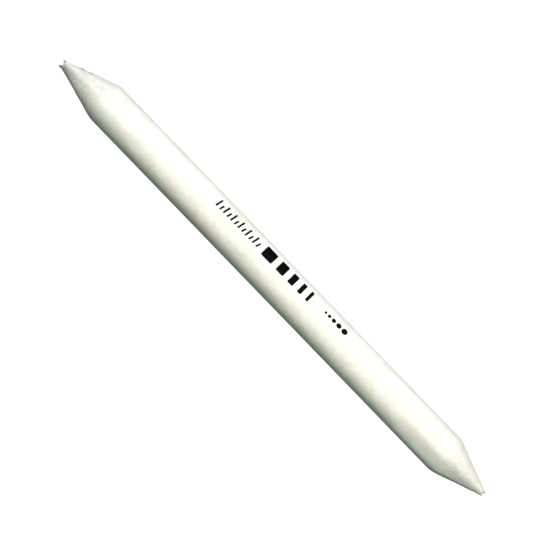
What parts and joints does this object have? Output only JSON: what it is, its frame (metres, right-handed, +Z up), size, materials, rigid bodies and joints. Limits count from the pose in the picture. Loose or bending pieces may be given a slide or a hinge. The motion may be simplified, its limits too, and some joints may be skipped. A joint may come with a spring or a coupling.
{
  "type": "blending stump",
  "caption": "Double-pointed drawing stump: felted paper wound into a solid rod, wrapped in thin paper, ground to a blunt cone at each end.",
  "frame": {"origin": "on the surface the stump lies on, below the middle of its length and width", "axes": "+X along the stump to its finer point, +Y to the side the printed marks lean to, +Z up"},
  "size_m": [0.14, 0.0102, 0.0102],
  "materials": {
    "felt_paper": "matte",
    "wrap_paper": "matte",
    "paste": "satin",
    "ink": "matte"
  },
  "bodies": {
    "root": {"core_roll": "felt_paper", "body_sheet": "felt_paper", "outer_wrap": "wrap_paper", "core_paste": "paste", "body_paste": "paste", "seam_paste": "paste", "print_tick_row": "ink", "print_shade_bars": "ink", "print_size_dots": "ink"}
  },
  "joints": []
}
